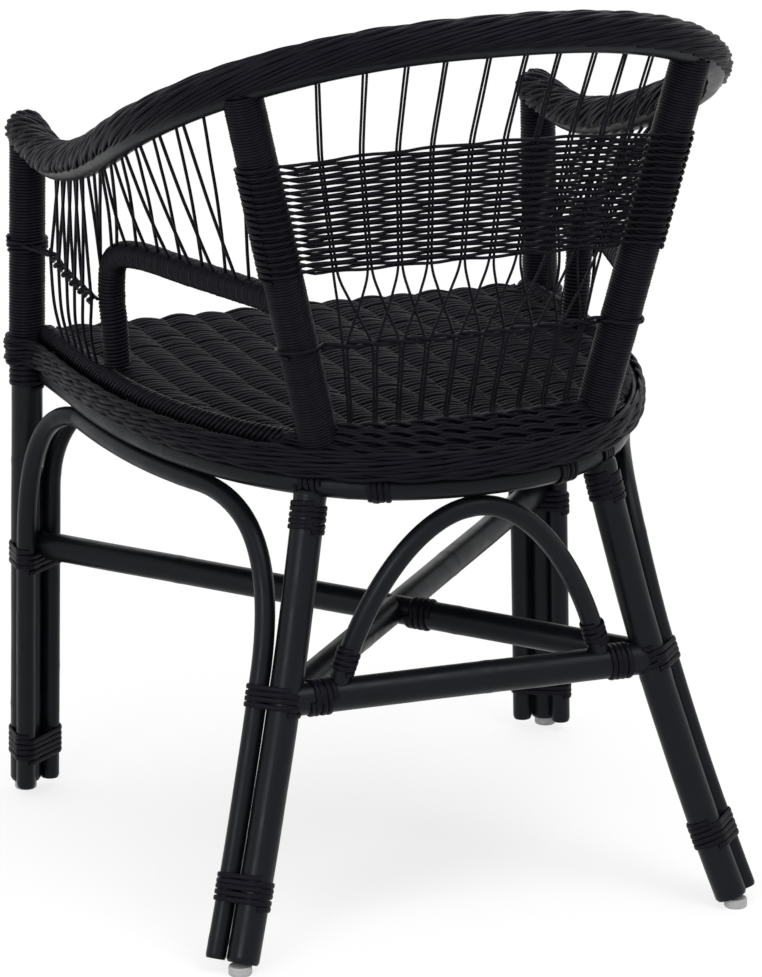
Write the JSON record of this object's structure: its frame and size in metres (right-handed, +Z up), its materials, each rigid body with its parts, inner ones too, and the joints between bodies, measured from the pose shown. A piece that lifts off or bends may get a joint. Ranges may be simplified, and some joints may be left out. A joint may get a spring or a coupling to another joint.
{
  "type": "rattan armchair",
  "caption": "Black rattan armchair: a pole frame bound with cane, a woven seat, an openwork back with a woven band, and a braided rail that forms the back and both arms.",
  "frame": {"origin": "on the floor under the middle of the chair's box", "axes": "+X to the sitter's left, +Y to the chair's back, +Z up"},
  "size_m": [0.5538, 0.551, 0.801],
  "materials": {
    "black_pole": "satin black paint",
    "black_cane": "satin black paint",
    "black_weave": "matt black paint",
    "grey_glide": "matt"
  },
  "bodies": {
    "root": {"arch_foot_binding_left": "black_cane", "arch_foot_binding_right": "black_cane", "arm_loop_left": "black_cane", "arm_loop_right": "black_cane", "back_arch": "black_pole", "back_foot_binding_left": "black_cane", "back_foot_binding_right": "black_cane", "back_glide_left": "grey_glide", "back_glide_right": "grey_glide", "back_leg_left": "black_pole", "back_leg_right": "black_pole", "back_mid_binding_left": "black_cane", "back_mid_binding_right": "black_cane", "back_panel": "black_weave", "back_post_left": "black_pole", "back_post_right": "black_pole", "back_post_wrap_left": "black_cane", "back_post_wrap_right": "black_cane", "back_stretcher": "black_pole", "back_top_binding_left": "black_cane", "back_top_binding_right": "black_cane", "cross_binding": "black_cane", "cross_stretcher_lower": "black_pole", "cross_stretcher_upper": "black_pole", "front_arch": "black_pole", "front_foot_binding_left": "black_cane", "front_foot_binding_right": "black_cane", "front_glide_left": "grey_glide", "front_glide_right": "grey_glide", "front_mid_binding_left": "black_cane", "front_mid_binding_right": "black_cane", "front_post_left": "black_pole", "front_post_right": "black_pole", "front_post_wrap_left": "black_cane", "front_post_wrap_right": "black_cane", "front_rail": "black_pole", "front_side_canes_left": "black_weave", "front_side_canes_right": "black_weave", "front_top_binding_left": "black_cane", "front_top_binding_right": "black_cane", "rear_side_canes_left": "black_weave", "rear_side_canes_right": "black_weave", "seat_apron": "black_weave", "seat_bar_binding_left": "black_cane", "seat_bar_binding_right": "black_cane", "seat_bar_left": "black_pole", "seat_bar_right": "black_pole", "seat_deck": "black_weave", "seat_hoop": "black_pole", "seat_roll_left": "black_cane", "seat_roll_right": "black_cane", "side_arch_left": "black_pole", "side_arch_right": "black_pole", "stretcher_end_binding_left": "black_cane", "stretcher_end_binding_right": "black_cane", "top_rail": "black_pole", "top_rail_braid": "black_weave"}
  },
  "joints": []
}
